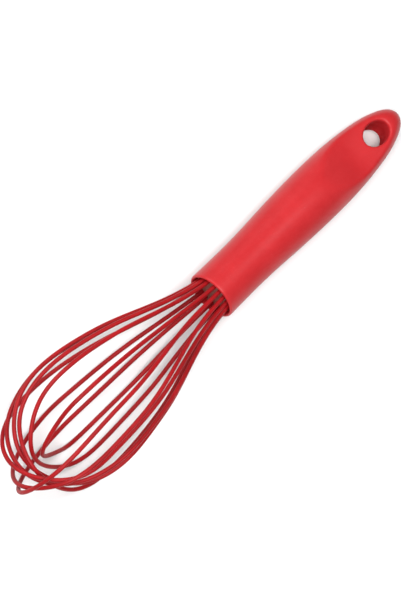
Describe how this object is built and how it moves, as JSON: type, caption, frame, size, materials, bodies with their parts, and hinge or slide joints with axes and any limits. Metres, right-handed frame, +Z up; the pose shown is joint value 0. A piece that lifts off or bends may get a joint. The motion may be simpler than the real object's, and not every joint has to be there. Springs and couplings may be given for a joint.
{
  "type": "balloon whisk",
  "caption": "Hand whisk with a balloon of silicone-coated wire loops held in a round soft-touch handle that flattens to a hang hole.",
  "frame": {"origin": "centre of the whole whisk's box on the table surface it lies on", "axes": "+X along the whisk from the balloon towards the hang end, +Z up from the table, +Y to the side; the whisk lies in its natural resting pose, tipped 5 degrees"},
  "size_m": [0.2658, 0.058, 0.0563],
  "materials": {
    "grip_silicone": "soft matte moulded silicone, opaque red",
    "coat_silicone": "satin silicone sleeve, opaque red",
    "wire_steel": "drawn stainless spring wire",
    "core_nylon": "moulded glass-filled nylon",
    "plug_nylon": "moulded nylon, dark reddish brown",
    "potting_epoxy": "cast epoxy"
  },
  "bodies": {
    "root": {"handle_grip": "grip_silicone", "handle_core": "core_nylon", "wire_plug": "plug_nylon", "epoxy_potting": "potting_epoxy", "loop_coat_1": "coat_silicone", "loop_coat_2": "coat_silicone", "loop_coat_3": "coat_silicone", "loop_coat_4": "coat_silicone", "loop_coat_5": "coat_silicone", "loop_coat_6": "coat_silicone", "loop_coat_7": "coat_silicone", "loop_coat_8": "coat_silicone", "loop_wire_1": "wire_steel", "loop_wire_2": "wire_steel", "loop_wire_3": "wire_steel", "loop_wire_4": "wire_steel", "loop_wire_5": "wire_steel", "loop_wire_6": "wire_steel", "loop_wire_7": "wire_steel", "loop_wire_8": "wire_steel"}
  },
  "joints": []
}
